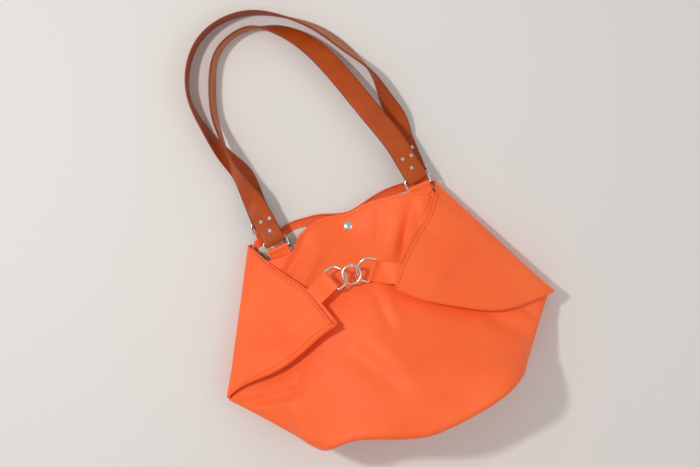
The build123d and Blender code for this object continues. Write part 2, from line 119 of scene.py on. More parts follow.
def pointsAt(spots, run, line):   # a line's values at places along it
    return np.stack([np.interp(spots, run, column) for column in line.T], axis=-1)


def alongPath(points, count, fineness=40):   # smooth line through points, evenly spaced, and its length
    points = np.asarray(points, float)
    reach = distances(points[:, :3])
    fine = throughPoints(reach, points)(np.linspace(0, reach[-1], fineness * len(points)))
    run = distances(fine[:, :3])
    return pointsAt(np.linspace(0, run[-1], count), run, fine), run[-1]


def evenly(points, count):
    return alongPath(points, count)[0]


def unit(v):
    return v / np.maximum(np.linalg.norm(v, axis=-1, keepdims=True), 1e-9)


def raised(line, lift):
    return line + np.array([0, 0, lift])


# sheets: built from a grid of points, then given a thickness and rounded edges
sheetLook = {"mergeWithin": 0.02, "edgeSteps": 3, "edgeAngle": 50, "smoothAngle": 60}


def makeActive(piece):
    bpy.ops.object.select_all(action="DESELECT")
    piece.select_set(True)
    bpy.context.view_layer.objects.active = piece


def meshPiece(name, points, faces, material):   # points in mm
    mesh = bpy.data.meshes.new(name)
    mesh.from_pydata([tuple(point) for point in np.asarray(points) * mm], [], faces)
    mesh.update()
    mesh.materials.append(material)
    piece = bpy.data.objects.new(name, mesh)
    bpy.context.scene.collection.objects.link(piece)
    makeActive(piece)
    bpy.ops.object.shade_smooth()
    return piece


def gridPiece(name, grid, material, flip=False):   # a grid of points as a sheet of four-sided faces
    rows, cols = grid.shape[:2]
    faces = []
    for row in range(rows - 1):
        for col in range(cols - 1):
            corner = row * cols + col
            face = (corner, corner + 1, corner + cols + 1, corner + cols)
            faces.append(face[::-1] if flip else face)
    return meshPiece(name, grid.reshape(-1, 3), faces, material)


def trimmed(grid, top, bottom, left, right):   # a grid without its outer rows and columns
    return grid[top:len(grid) - bottom, left:grid.shape[1] - right]


def startMerged(piece):   # opens edit mode with points that share a place made one, and nothing selected
    makeActive(piece)
    bpy.ops.object.mode_set(mode="EDIT")
    bpy.ops.mesh.select_all(action="SELECT")
    bpy.ops.mesh.remove_doubles(threshold=sheetLook["mergeWithin"] * mm)
    bpy.ops.mesh.select_all(action="DESELECT")


def thicken(piece, thickness, edge=0.0):   # the thickness goes inwards from the sheet
    startMerged(piece)
    bpy.ops.object.mode_set(mode="OBJECT")
    bpy.ops.object.modifier_add(type="SOLIDIFY")
    solid = piece.modifiers[-1]
    solid.thickness = thickness * mm
    solid.offset = -1
    solid.use_even_offset = False
    bpy.ops.object.modifier_apply(modifier=solid.name)
    if edge:
        bpy.ops.object.modifier_add(type="BEVEL")
        soft = piece.modifiers[-1]
        soft.width = edge * mm
        soft.segments = sheetLook["edgeSteps"]
        soft.limit_method = "ANGLE"
        soft.angle_limit = math.radians(sheetLook["edgeAngle"])
        bpy.ops.object.modifier_apply(modifier=soft.name)
    bpy.ops.object.shade_smooth_by_angle(angle=math.radians(sheetLook["smoothAngle"]))


def finishPiece(piece, body, replaced):
    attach(piece, body)
    if replaced:
        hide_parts(*replaced)


# helpers for the materials' nodes
def newMaterial(name):
    material = bpy.data.materials.new(name)
    material.use_nodes = True
    return material, material.node_tree, material.node_tree.nodes["Principled BSDF"]


def put(tree, kind, settings=None, links=None):   # a node with its settings and its inputs' links
    node = tree.nodes.new(kind)
    for label, value in (settings or {}).items():
        if hasattr(node, label):
            setattr(node, label, value)
        else:
            node.inputs[label].default_value = value
    for label, source in (links or {}).items():
        tree.links.new(source, node.inputs[label])
    return node


def objectPlace(tree):
    return put(tree, "ShaderNodeTexCoord").outputs["Object"]


def toneRamp(tree, source, dark, light, stops=(0.0, 1.0)):
    ramp = put(tree, "ShaderNodeValToRGB", {}, {"Fac": source})
    for element, position, colour in zip(ramp.color_ramp.elements, stops, (dark, light)):
        element.position = position
        element.color = (*colour, 1)
    return ramp.outputs["Color"]


def maths(tree, operation, first, second):
    node = tree.nodes.new("ShaderNodeMath")
    node.operation = operation
    for socket, value in zip(node.inputs, (first, second)):
        if isinstance(value, (int, float)):
            socket.default_value = value
        else:
            tree.links.new(value, socket)
    return node.outputs[0]


# grain for cloth and leather: fine pebbling, slow tone changes and small creases, as a shared group
grainGroup = bpy.data.node_groups.new("clothGrain", "ShaderNodeTree")
grainGroup.interface.new_socket(name="Vector", in_out="INPUT", socket_type="NodeSocketVector")
for label, value in (("Grain", 1400.0), ("Drift", 9.0)):
    socket = grainGroup.interface.new_socket(name=label, in_out="INPUT", socket_type="NodeSocketFloat")
    socket.default_value = value
for label in ("Height", "Tone", "Crease"):
    grainGroup.interface.new_socket(name=label, in_out="OUTPUT", socket_type="NodeSocketFloat")
grainIn = grainGroup.nodes.new("NodeGroupInput").outputs
grainOut = grainGroup.nodes.new("NodeGroupOutput").inputs
pebble = put(grainGroup, "ShaderNodeTexVoronoi", {"feature": "SMOOTH_F1"},
             {"Vector": grainIn["Vector"], "Scale": grainIn["Grain"]})
drift = put(grainGroup, "ShaderNodeTexNoise", {"Detail": 4.0, "Roughness": 0.55},
            {"Vector": grainIn["Vector"], "Scale": grainIn["Drift"]})
fuzz = put(grainGroup, "ShaderNodeTexNoise", {"Scale": 420.0, "Detail": 3.0}, {"Vector": grainIn["Vector"]})
creaseNoise = put(grainGroup, "ShaderNodeTexNoise", {"Scale": 26.0, "Detail": 2.0, "Distortion": 0.6},
                  {"Vector": grainIn["Vector"]})
halfFuzz = maths(grainGroup, "MULTIPLY", fuzz.outputs["Fac"], 0.5)
grainGroup.links.new(maths(grainGroup, "ADD", pebble.outputs["Distance"], halfFuzz), grainOut["Height"])
grainGroup.links.new(drift.outputs["Fac"], grainOut["Tone"])
grainGroup.links.new(creaseNoise.outputs["Fac"], grainOut["Crease"])

softLook = {"sheenRough": 0.45, "toneStops": (0.3, 0.7), "glossSpan": 0.06, "creaseBump": 0.25,
            "creaseDepth": 0.0012}


def softMaterial(look):   # cloth, leather, board and thread
    material, tree, shader = newMaterial(look["name"])
    shader.inputs["Roughness"].default_value = look["rough"]
    shader.inputs["Specular IOR Level"].default_value = look["specular"]
    shader.inputs["Sheen Weight"].default_value = look.get("sheen", 0.0)
    shader.inputs["Sheen Roughness"].default_value = softLook["sheenRough"]
    shader.inputs["Sheen Tint"].default_value = (*look.get("sheenTint", (1, 1, 1)), 1)
    grain = tree.nodes.new("ShaderNodeGroup")
    grain.node_tree = grainGroup
    grain.inputs["Grain"].default_value = look["grain"]
    grain.inputs["Drift"].default_value = look["drift"]
    tree.links.new(objectPlace(tree), grain.inputs["Vector"])
    tone = toneRamp(tree, grain.outputs["Tone"], look["dark"], look["light"], softLook["toneStops"])
    tree.links.new(tone, shader.inputs["Base Color"])
    gloss = put(tree, "ShaderNodeMapRange", {"To Min": look["rough"] - softLook["glossSpan"],
                                             "To Max": look["rough"] + softLook["glossSpan"]},
                {"Value": grain.outputs["Crease"]})
    tree.links.new(gloss.outputs["Result"], shader.inputs["Roughness"])
    fine = put(tree, "ShaderNodeBump", {"Strength": look["bump"], "Distance": look["depth"]},
               {"Height": grain.outputs["Height"]})
    slow = put(tree, "ShaderNodeBump", {"Strength": look.get("creaseBump", softLook["creaseBump"]),
                                        "Distance": softLook["creaseDepth"]},
               {"Height": grain.outputs["Crease"], "Normal": fine.outputs["Normal"]})
    tree.links.new(slow.outputs["Normal"], shader.inputs["Normal"])
    return material


orange = softMaterial({
    "name": "orangeCloth", "dark": (0.97, 0.118, 0.020), "light": (1.0, 0.158, 0.032), "rough": 0.56,
    "specular": 0.35, "sheen": 0.25, "sheenTint": (1.0, 0.55, 0.4), "grain": 1500.0, "drift": 10.0,
    "bump": 0.25, "depth": 0.00025})
strapLeather = softMaterial({
    "name": "strapLeather", "dark": (0.36, 0.050, 0.003), "light": (0.47, 0.074, 0.008), "rough": 0.46,
    "specular": 0.22, "grain": 1100.0, "drift": 22.0, "bump": 0.3, "depth": 0.0003, "creaseBump": 0.12})
strapFlesh = softMaterial({
    "name": "strapFlesh", "dark": (0.43, 0.15, 0.08), "light": (0.56, 0.21, 0.125), "rough": 0.85,
    "specular": 0.2, "grain": 900.0, "drift": 30.0, "bump": 0.6, "depth": 0.0005})
boardFibre = softMaterial({
    "name": "boardFibre", "dark": (0.10, 0.075, 0.055), "light": (0.16, 0.125, 0.09), "rough": 0.8,
    "specular": 0.2, "grain": 700.0, "drift": 40.0, "bump": 0.4, "depth": 0.0004})
strapEdge = softMaterial({
    "name": "strapEdge", "dark": (0.20, 0.032, 0.008), "light": (0.27, 0.045, 0.012), "rough": 0.5,
    "specular": 0.35, "grain": 900.0, "drift": 30.0, "bump": 0.3, "depth": 0.0003})

# nickel for the rings, rivets and snap, a little smudged
nickelLook = {"dark": (0.60, 0.585, 0.56), "light": (0.78, 0.77, 0.75), "roughFrom": 0.15, "roughTo": 0.28,
              "wear": 240.0, "smudge": 60.0, "bump": 0.12, "depth": 0.0001}


def nickelMaterial(look):
    material, tree, shader = newMaterial("nickel")
    shader.inputs["Metallic"].default_value = 1.0
    place = objectPlace(tree)
    wear = put(tree, "ShaderNodeTexNoise", {"Scale": look["wear"], "Detail": 5.0}, {"Vector": place})
    smudge = put(tree, "ShaderNodeTexNoise", {"Scale": look["smudge"], "Detail": 3.0}, {"Vector": place})
    tone = toneRamp(tree, smudge.outputs["Fac"], look["dark"], look["light"])
    tree.links.new(tone, shader.inputs["Base Color"])
    rough = put(tree, "ShaderNodeMapRange", {"To Min": look["roughFrom"], "To Max": look["roughTo"]},
                {"Value": wear.outputs["Fac"]})
    tree.links.new(rough.outputs["Result"], shader.inputs["Roughness"])
    bump = put(tree, "ShaderNodeBump", {"Strength": look["bump"], "Distance": look["depth"]},
               {"Height": wear.outputs["Fac"]})
    tree.links.new(bump.outputs["Normal"], shader.inputs["Normal"])
    return material


nickel = nickelMaterial(nickelLook)

# printed lining: pale ground with loose leaves and blossoms of mixed sizes, each layer with its own ink
liningLook = {
    "ground": (0.80, 0.76, 0.66), "rough": 0.8, "warp": 0.012, "warpScale": 55.0,
    "weave": 900.0, "bump": 0.2, "depth": 0.0002,
    "prints": [
        {"scale": 38.0, "edge": (0.37, 0.41), "ink": (0.16, 0.21, 0.13), "stretch": (1, 2.3, 1), "turn": 0.5},
        {"scale": 46.0, "edge": (0.32, 0.36), "ink": (0.33, 0.38, 0.24), "stretch": (2.2, 1, 1), "turn": 1.3},
        {"scale": 30.0, "edge": (0.30, 0.34), "ink": (0.60, 0.30, 0.30), "stretch": (1, 1, 1), "turn": 2.1},
        {"scale": 64.0, "edge": (0.23, 0.27), "ink": (0.42, 0.30, 0.36), "stretch": (1, 1, 1), "turn": 0.9},
    ],
}
# the Mix node's sockets go by number: two inputs and the output, for vectors and for colours
mixVector = {"from": 4, "to": 5, "out": 1}
mixColour = {"from": 6, "to": 7, "out": 2}


def liningMaterial(look):
    material, tree, shader = newMaterial("printedLining")
    shader.inputs["Roughness"].default_value = look["rough"]
    place = objectPlace(tree)
    warp = put(tree, "ShaderNodeTexNoise", {"Scale": look["warpScale"], "Detail": 3.0}, {"Vector": place})
    bent = put(tree, "ShaderNodeMix", {"data_type": "VECTOR"})
    bent.inputs[0].default_value = look["warp"]
    tree.links.new(place, bent.inputs[mixVector["from"]])
    tree.links.new(warp.outputs["Color"], bent.inputs[mixVector["to"]])
    colour = None
    for layer in look["prints"]:
        turned = put(tree, "ShaderNodeMapping",
                     {"Rotation": (0, 0, layer["turn"]), "Scale": layer["stretch"]},
                     {"Vector": bent.outputs[mixVector["out"]]})
        cells = put(tree, "ShaderNodeTexVoronoi", {"Scale": layer["scale"]},
                    {"Vector": turned.outputs["Vector"]})
        inside, outside = layer["edge"]
        mask = put(tree, "ShaderNodeMapRange",
                   {"From Min": inside, "From Max": outside, "To Min": 1.0, "To Max": 0.0},
                   {"Value": cells.outputs["Distance"]})
        mix = put(tree, "ShaderNodeMix", {"data_type": "RGBA"}, {"Factor": mask.outputs["Result"]})
        if colour is None:
            mix.inputs[mixColour["from"]].default_value = (*look["ground"], 1)
        else:
            tree.links.new(colour, mix.inputs[mixColour["from"]])
        mix.inputs[mixColour["to"]].default_value = (*layer["ink"], 1)
        colour = mix.outputs[mixColour["out"]]
    tree.links.new(colour, shader.inputs["Base Color"])
    weave = put(tree, "ShaderNodeTexWave", {"Scale": look["weave"]}, {"Vector": place})
    bump = put(tree, "ShaderNodeBump", {"Strength": look["bump"], "Distance": look["depth"]},
               {"Height": weave.outputs["Fac"]})
    tree.links.new(bump.outputs["Normal"], shader.inputs["Normal"])
    return material


lining = liningMaterial(liningLook)


def tableMaterial(look):
    material, tree, shader = newMaterial("paleTable")
    shader.inputs["Roughness"].default_value = look["floorRough"]
    shader.inputs["Specular IOR Level"].default_value = look["floorSpecular"]
    cloud = put(tree, "ShaderNodeTexNoise", {"Scale": 1.1, "Detail": 1.0}, {"Vector": objectPlace(tree)})
    shade = [level * look["floorShade"] for level in look["floor"]]
    tree.links.new(toneRamp(tree, cloud.outputs["Fac"], shade, look["floor"]), shader.inputs["Base Color"])
    return material


table.data.materials.append(tableMaterial(studio))
print("materials done")

# the bag's body, which the shell, lining, base and corners are drawn from
bodyForm = {
    # where a cross-section's heights lie, from the left edge over the middle to the right edge
    "spots": (-1, -0.86, -0.5, 0, 0.5, 0.86, 1),
    # each cross-section's place, from base to mouth, and its heights
    "sections": [(-126, (90, 110, 113, 114, 113, 110, 90)), (-100, (80, 104, 110, 111, 110, 104, 80)),
                 (-60, (42, 62, 89, 100, 86, 62, 42)), (-22, (20, 34, 65, 84, 58, 38, 22)),
                 (40, (13, 30, 52, 60, 47, 30, 13)), (85, (12, 26, 38, 27, 37, 27, 12)),
                 (118, (11, 24, 26, 10.8, 27, 25, 11)), (152, (11, 23, 23, 10.8, 23, 24, 11))],
    # straight sides that turn at one place: x, slope and y, towards the mouth and towards the base
    "sideTurn": -22, "leftSide": ((-204, 0.484, -22), (-204, -1.09, -22)),
    "rightSide": ((183, -0.53, -24), (181, 0.88, -22)),
    "tuck": 9, "tuckHeight": 1.2, "lowest": 1.0, "foldGain": 1.6,
    "frontRim": [(-175, 113), (-112, 113), (-88, 112), (-79, 115), (-70, 125), (-60, 132.5), (-49, 136.5),
                 (-27, 138), (-8, 135.5), (15, 138.5), (33, 138), (60, 135), (88, 128), (150, 112)],
    "backRim": [(-127, 135), (-117, 140), (-87, 143), (-70, 146.5), (-57, 146), (-43, 145), (-27, 141),
                (-8, 136.5), (6, 138.5), (26, 144), (46, 147), (62, 147), (95, 140)],
    "baseEdge": [(-119, -103), (-102, -100), (-83, -98.5), (-54, -106), (-24, -115.5), (-3, -119.5),
                 (20, -119), (55, -114), (85, -107), (113, -99)],
    "foot": [(-112, -99.5), (-3, -103), (107, -99)],
}
# fromX, fromY, toX, toY, width, height: soft folds pressed into the front (negative) or standing out of it
folds = [
    (-8, 47, -4, -2, 6, -1.6), (2, 46, 8, 0, 7, 0.9), (-62, 4, -14, -66, 13, -3.0), (-36, 6, 2, -46, 13, 1.6),
    (-196, -27, -152, -35, 5, -2.2), (-153, -34, -121, -33, 6, -2.2), (-122, -36, -117, -18, 5, -1.6),
    (-190, -38, -130, -42, 6, 1.5), (-140, -38, -126, -100, 7, 2.6), (-152, -52, -140, -92, 9, -2.0),
    (140, -27, 156, -45, 4, -1.8), (100, -22, 138, -56, 9, -2.6), (141, -56, 124, -94, 8, -2.2),
    (152, -58, 133, -99, 7, 1.4), (74, -68, 108, -84, 16, 1.8), (-80, -88, -20, -100, 12, 1.4),
    (20, -70, 60, -108, 12, -1.4), (-24, 112, -52, 88, 7, -2.2), (-12, 100, -40, 76, 8, 1.4),
    (-63, 127, -69, 111, 6, -4.0), (-69, 113, -100, 88, 6, -4.2), (-49, 133, -52, 101, 6, 2.2),
    (-52, 102, -82, 76, 6, 2.2), (29, 131, 6, 80, 5, 2.0), (20, 131, 0, 84, 5, -1.5),
    (66, 124, 32, 66, 8, -6.5), (44, 134, 22, 90, 6, 1.5),
]


def sideLine(y, side):
    (mouthX, mouthSlope, mouthY), (baseX, baseSlope, baseY) = side
    towardsMouth, towardsBase = mouthX + mouthSlope * (y - mouthY), baseX + baseSlope * (y - baseY)
    return np.where(y > bodyForm["sideTurn"], towardsMouth, towardsBase)


def leftEdge(y):
    return sideLine(y, bodyForm["leftSide"])


def rightEdge(y):
    return sideLine(y, bodyForm["rightSide"])


def curveOf(name):   # one of the body's edges, or its sections, as a smooth callable
    return throughPoints(*zip(*bodyForm[name]))


frontRimAt, backRimAt, baseEdgeAt = curveOf("frontRim"), curveOf("backRim"), curveOf("baseEdge")
footAt, heightsAt = curveOf("foot"), curveOf("sections")

# the sections' surface, worked out once on a lattice; "trim" leaves out columns where its sides double back
lattice = {"rows": 140, "cols": 241, "from": -126.0, "to": 152.0, "trim": 20}
latticeX = np.zeros((lattice["rows"], lattice["cols"]))
latticeZ = np.zeros((lattice["rows"], lattice["cols"]))
for row, y in enumerate(np.linspace(lattice["from"], lattice["to"], lattice["rows"])):
    left, right = float(leftEdge(y)), float(rightEdge(y))
    middle, half = (left + right) / 2, (right - left) / 2
    section = [(left + bodyForm["tuck"], bodyForm["tuckHeight"])]
    section += [(middle + spot * half, height) for spot, height in zip(bodyForm["spots"], heightsAt(y))]
    section += [(right - bodyForm["tuck"], bodyForm["tuckHeight"])]
    reach = distances(np.array(section))
    line = throughPoints(reach / reach[-1], section)(np.linspace(0, 1, lattice["cols"]))
    latticeX[row], latticeZ[row] = line[:, 0], np.maximum(line[:, 1], bodyForm["lowest"])


def latticePlace(share, count):   # the row or column before a place, and how far past it the place lies
    place = np.clip(share * (count - 1), 0, count - 1.001)
    return place.astype(int), place - place.astype(int)


def rowPlace(y):
    return latticePlace((y - lattice["from"]) / (lattice["to"] - lattice["from"]), lattice["rows"])


def onBody(across, y):   # x and z of the body's outer surface, by the share across it
    row, past = rowPlace(y)
    col, aside = latticePlace(across, lattice["cols"])
    mixed = []
    for values in (latticeX, latticeZ):
        mixed.append(values[row, col] * (1 - past) * (1 - aside) + values[row + 1, col] * past * (1 - aside)
                     + values[row, col + 1] * (1 - past) * aside + values[row + 1, col + 1] * past * aside)
    return mixed


def foldHeight(x, y, creases):
    total = np.zeros(np.shape(x))
    for fromX, fromY, toX, toY, width, height in creases:
        length = math.hypot(toX - fromX, toY - fromY)
        aheadX, aheadY = (toX - fromX) / length, (toY - fromY) / length
        along = ((x - fromX) * aheadX + (y - fromY) * aheadY) / length
        aside = (x - fromX) * aheadY - (y - fromY) * aheadX
        total = total + height * np.exp(-(aside / width) ** 2) * np.exp(-((along - 0.5) / 0.5) ** 4)
    return total


def bodyHeight(x, y):   # height of the body's top, with the folds that stand out of it
    rows, pasts = rowPlace(y)
    heights = np.zeros(x.shape)
    trim = lattice["trim"]
    for spot in np.ndindex(x.shape):
        row, past = rows[spot], pasts[spot]
        rowX = latticeX[row] * (1 - past) + latticeX[row + 1] * past
        rowZ = latticeZ[row] * (1 - past) + latticeZ[row + 1] * past
        heights[spot] = np.interp(x[spot], rowX[trim:-trim], rowZ[trim:-trim])
    return heights + bodyForm["foldGain"] * np.maximum(foldHeight(x, y, folds), 0)


def denseStart(count, first, reach):   # shares from 0 to 1, of which the first few lie closer together
    near = np.linspace(0, reach, first)
    return np.concatenate([near, np.linspace(reach, 1, count - first + 1)[1:]])


def rolledFall(away, radius):   # how far a rounded edge has fallen, by the distance from where it ends
    return radius * (1 - np.sqrt(np.clip(1 - (np.clip(radius - away, 0, radius) / radius) ** 2, 0, 1)))


# front: shell with its sides, lining and rim facing; gaps and margins in mm, trims in rows or columns
frontLook = {
    "rows": 104, "cols": 201, "rimRows": 12, "rimReach": 0.04, "baseEase": 0.25, "passes": 7,
    "mouth": 120, "depth": 220, "rimSpan": (-150, 130), "baseSpan": (-119, 113), "lowestBase": -120,
    "roll": 7.0, "plainUpTo": 8, "plainFade": 30, "cloth": 2.0, "edge": 0.6,
    "liningRows": 60, "liningCols": 121, "liningGap": 0.4, "liningRim": -7, "liningBase": 4,
    "liningTrim": (0, 0, 3, 3), "facingGap": 0.1, "facingRows": 14, "facingTrim": 40, "thinCloth": 0.5,
}


def frontSheet(inset, rimShift, baseShift, rows, cols):   # grid over the front, from rim to base edge
    look = frontLook
    across = np.linspace(0, 1, cols)[None, :].repeat(rows, 0)
    down = denseStart(rows, look["rimRows"], look["rimReach"])[:, None].repeat(cols, 1)
    down = 1 - (1 - down) * (1 + look["baseEase"] * down) / (1 + look["baseEase"] * down ** 3)
    y = look["mouth"] - look["depth"] * down
    for _ in range(look["passes"]):   # rim and base depend on x, so the grid settles in a few passes
        x, z = onBody(across, y)
        rim = frontRimAt(np.clip(x, *look["rimSpan"])) + rimShift
        base = np.maximum(baseEdgeAt(np.clip(x, *look["baseSpan"])), look["lowestBase"]) + baseShift
        y = rim + (base - rim) * down
    x, z = onBody(across, y)
    upper = np.clip((z - look["plainUpTo"]) / look["plainFade"], 0, 1)   # no folds or roll near the table
    z = z + bodyForm["foldGain"] * foldHeight(x, y, folds) * upper
    z = z - rolledFall(y - base, look["roll"]) * upper
    grid = np.stack([x, y, z], 2)
    return grid - inset * unit(np.cross(np.gradient(grid, axis=0), np.gradient(grid, axis=1)))


def sheetPiece(name, grid, material, thickness, edge=0.0, flip=True):
    piece = gridPiece(name, grid, material, flip)
    thicken(piece, thickness, edge)
    return piece


def spanHinge(piece, replaced):   # cloth that joins the back to the front
    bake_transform(piece)
    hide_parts(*replaced)


shellGrid = frontSheet(0, 0, 0, frontLook["rows"], frontLook["cols"])
frontShell = sheetPiece("frontShell", shellGrid, orange, frontLook["cloth"], frontLook["edge"])
spanHinge(frontShell, ["front_panel"])

liningGrid = frontSheet(frontLook["cloth"] + frontLook["liningGap"], frontLook["liningRim"],
                        frontLook["liningBase"], frontLook["liningRows"], frontLook["liningCols"])
liningGrid = trimmed(liningGrid, *frontLook["liningTrim"])
frontLining = sheetPiece("frontLining", liningGrid, lining, frontLook["thinCloth"])
spanHinge(frontLining, ["lining_front"])

facingGrid = frontSheet(frontLook["cloth"] + frontLook["facingGap"], 0, 0,
                        frontLook["rows"], frontLook["cols"])
facingGrid = facingGrid[:frontLook["facingRows"], frontLook["facingTrim"]:-frontLook["facingTrim"]]
frontFacing = sheetPiece("frontFacing", facingGrid, orange, frontLook["thinCloth"])
finishPiece(frontFacing, "front", ["rim_facing_front"])
print("front shell done")

# base: a wall that fills the shell's end, with a stiff board and the lining's end behind it
baseLook = {
    "cornerHeight": 55, "levels": 61, "footHeight": 1.5, "dent": 0.8, "dentTurns": (9, 14), "bow": 1.5,
    "cloth": 1.8, "edge": 0.6, "boardBehind": 2.7, "board": 1.6, "boardEdge": 0.4,
    "boardTrim": (5, 4, 14, 14), "liningBehind": 5.2, "lining": 0.5, "liningTrim": (3, 3, 8, 8),
}


def filledPatch(top, bottom, left, right):   # surface between four lines that share their ends
    down = np.linspace(0, 1, len(left))[:, None, None]
    across = np.linspace(0, 1, len(top))[None, :, None]
    ends = ((top[0] * (1 - across) + top[-1] * across) * (1 - down)
            + (bottom[0] * (1 - across) + bottom[-1] * across) * down)
    return (top[None] * (1 - down) + bottom[None] * down
            + left[:, None] * (1 - across) + right[:, None] * across - ends)


def behind(grid, depth):
    return grid + [0, depth, 0]


endRow = shellGrid[-1]
high = np.where(endRow[:, 2] > baseLook["cornerHeight"])[0]
wallTop = endRow[high[0]:high[-1] + 1]
wallLeft = evenly(endRow[high[0]::-1], baseLook["levels"])
wallRight = evenly(endRow[high[-1]:], baseLook["levels"])
share = np.linspace(0, 1, len(wallTop))
footX = wallLeft[-1, 0] + share * (wallRight[-1, 0] - wallLeft[-1, 0])
footY = footAt(footX)
footY = footY + (wallLeft[-1, 1] - footY[0]) * (1 - share) + (wallRight[-1, 1] - footY[-1]) * share
wallFoot = np.stack([footX, footY, np.full(len(footX), baseLook["footHeight"])], 1)
wallFoot[0], wallFoot[-1] = wallLeft[-1], wallRight[-1]
wall = filledPatch(wallTop, wallFoot, wallLeft, wallRight)
down = np.linspace(0, 1, baseLook["levels"])[:, None]
dentsDown, dentsAcross = baseLook["dentTurns"]
dents = baseLook["dent"] * np.sin(down * dentsDown + share[None] * dentsAcross)
wall[..., 1] += np.sin(down * math.pi) * (dents - baseLook["bow"] * np.sin(share * math.pi))
basePanel = sheetPiece("basePanel", wall, orange, baseLook["cloth"], baseLook["edge"])
spanHinge(basePanel, ["base_panel"])

boardGrid = behind(trimmed(wall, *baseLook["boardTrim"]), baseLook["boardBehind"])
baseBoard = sheetPiece("baseBoard", boardGrid, boardFibre, baseLook["board"], baseLook["boardEdge"])
spanHinge(baseBoard, ["base_board"])

liningGrid = behind(trimmed(wall, *baseLook["liningTrim"]), baseLook["liningBehind"])
baseLining = sheetPiece("baseLining", liningGrid, lining, baseLook["lining"])
spanHinge(baseLining, [])
print("base done")

# back: panel, lining and rim facing, flat on the table
backLook = {
    "rows": 90, "cols": 110, "rimRows": 14, "rimReach": 0.05, "mouth": 130, "base": -101.5, "passes": 5,
    "rimSpan": (-125, 95), "height": 2.2, "side": 6.5, "cloth": 2.0, "edge": 0.7,
    "liningHeight": 2.8, "liningSide": 13, "liningRim": -8, "liningBase": 8, "lining": 0.5,
    "facingHeight": 2.9, "facingRim": -0.6, "facingRows": 11, "facing": 0.6,
}


def backSheet(height, sideInset, rimShift, baseShift):
    look = backLook
    down = denseStart(look["rows"], look["rimRows"], look["rimReach"])[:, None]
    across = np.linspace(0, 1, look["cols"])[None, :]
    base = look["base"] + baseShift
    y = look["mouth"] + (base - look["mouth"]) * down
    for _ in range(look["passes"]):
        left = leftEdge(y) + sideInset
        x = left + (rightEdge(y) - sideInset - left) * across
        rim = backRimAt(np.clip(x, *look["rimSpan"])) + rimShift
        y = rim + (base - rim) * down
    return np.stack([x, y, np.full(x.shape, float(height))], 2)


backGrid = backSheet(backLook["height"], backLook["side"], 0, 0)
backPanel = sheetPiece("backPanel", backGrid, orange, backLook["cloth"], backLook["edge"])
finishPiece(backPanel, "back", ["back_panel"])

liningGrid = backSheet(backLook["liningHeight"], backLook["liningSide"], backLook["liningRim"],
                       backLook["liningBase"])
backLining = sheetPiece("backLining", liningGrid, lining, backLook["lining"])
finishPiece(backLining, "back", ["lining_back"])

backFacingGrid = backSheet(backLook["facingHeight"], backLook["liningSide"], backLook["facingRim"], 0)
backFacing = sheetPiece("backFacing", backFacingGrid[:backLook["facingRows"]], orange, backLook["facing"])
finishPiece(backFacing, "back", ["rim_facing_back"])
print("back done")

# folded corners: a top layer from the rim to the hem, a strip that turns under, and a layer back below it;
# "strip" is how far the strip reaches past the hem, in x and towards the base, and "plane" has a height,
# its x and y, and the slopes there
corners = {
    "leftWing": {
        "side": -1, "node": "left_wing",
        "rim": [(-126, 137), (-115, 114), (-98, 90.5), (-80, 68), (-71, 48), (-63, 27)],
        "inner": [(-122, 131), (-111, 113), (-95, 91), (-77.5, 69), (-67, 50), (-57.5, 24.5)],
        "hem": [(-203, -18), (-188, -10), (-160, -3), (-127, 4), (-102, 13), (-77, 24), (-63, 27)],
        "strip": [(0, 0.5), (0, 3), (0, 5.5), (0, 7), (0, 7), (0, 7.5), (4.5, 5.0)],
        "plane": (20, -127, 137, 0.4707, -0.2946), "bulge": 4.0, "layerGap": 6.8, "hemLift": 5.0,
        "creases": [(-156, 62, -122, 46, 6, -2.4), (-150, 40, -100, 30, 12, 1.2),
                    (-170, 10, -110, 22, 8, -1.0)]},
    "rightWing": {
        "side": 1, "node": "right_wing",
        "rim": [(97, 138), (96.5, 129), (89, 116), (79, 103), (64, 91), (47, 76), (30, 59), (15.5, 40)],
        "inner": [(90, 127), (86, 117), (74, 106), (62, 98.5), (48, 87.5), (38, 75.5), (24.5, 59),
                  (15, 39.5)],
        "hem": [(183, -24), (146, -23), (122, -21), (96, -12), (66, 4), (37, 21), (15.5, 40)],
        "strip": [(0, 0.5), (0, 2), (0, 2.5), (0, 2.5), (0, 2.5), (0, 2), (-1, 1)],
        "plane": (22, 97, 134, -0.3446, -0.2710), "bulge": 4.0, "layerGap": 9.0, "hemLift": 2.0,
        "creases": [(131, 93, 88, 88, 6, -2.6), (89, 88, 70, 84, 6, -1.6), (115, 76, 52, 28, 12, 1.6),
                    (150, 10, 60, 20, 10, -0.9)]},
}
cornerLook = {
    "rows": 80, "topSteps": (44, 9, 0.06), "underSteps": (36, 9, 0.07),
    "roll": 9.0, "cloth": 1.4, "edge": 0.4,
    # clearance over the body: the least, what is added away from the side fold, and over what distance
    "topOver": (1.2, 6.5, 14), "underOver": (0.5, 2.4, 12), "underBulge": 0.6, "underBlend": 6,
    # the strip's width that gives its full shape, and the least shares of that shape and of its falls
    "stripFull": 4, "stripLeast": 0.3, "flatFall": 0.35, "groove": 1.1,
    # the strip's turn under the fold: share of its width, and fall
    "stripTurn": ((0.18, 0.15), (0.45, 0.0), (0.75, 0.5), (0.93, 1.7), (1.0, 3.2), (0.93, 4.6), (0.7, 5.4)),
    # the fold's way down the bag's side: fall, and distance outwards
    "skirt": ((12.0, -3.0), (8.0, -0.6), (5.0, 0.5), (2.3, 0.6)), "skirtFade": 30, "skirtLowest": 3.5,
    "lining": 0.4, "liningOver": 1.1, "liningTrim": (9, 0, 6, 9),
}


def planeHeight(look, x, y):   # height of the slanting plane that a folded corner lies in
    height, atX, atY, slopeX, slopeY = look["plane"]
    return height + slopeX * (x - atX) + slopeY * (y - atY)


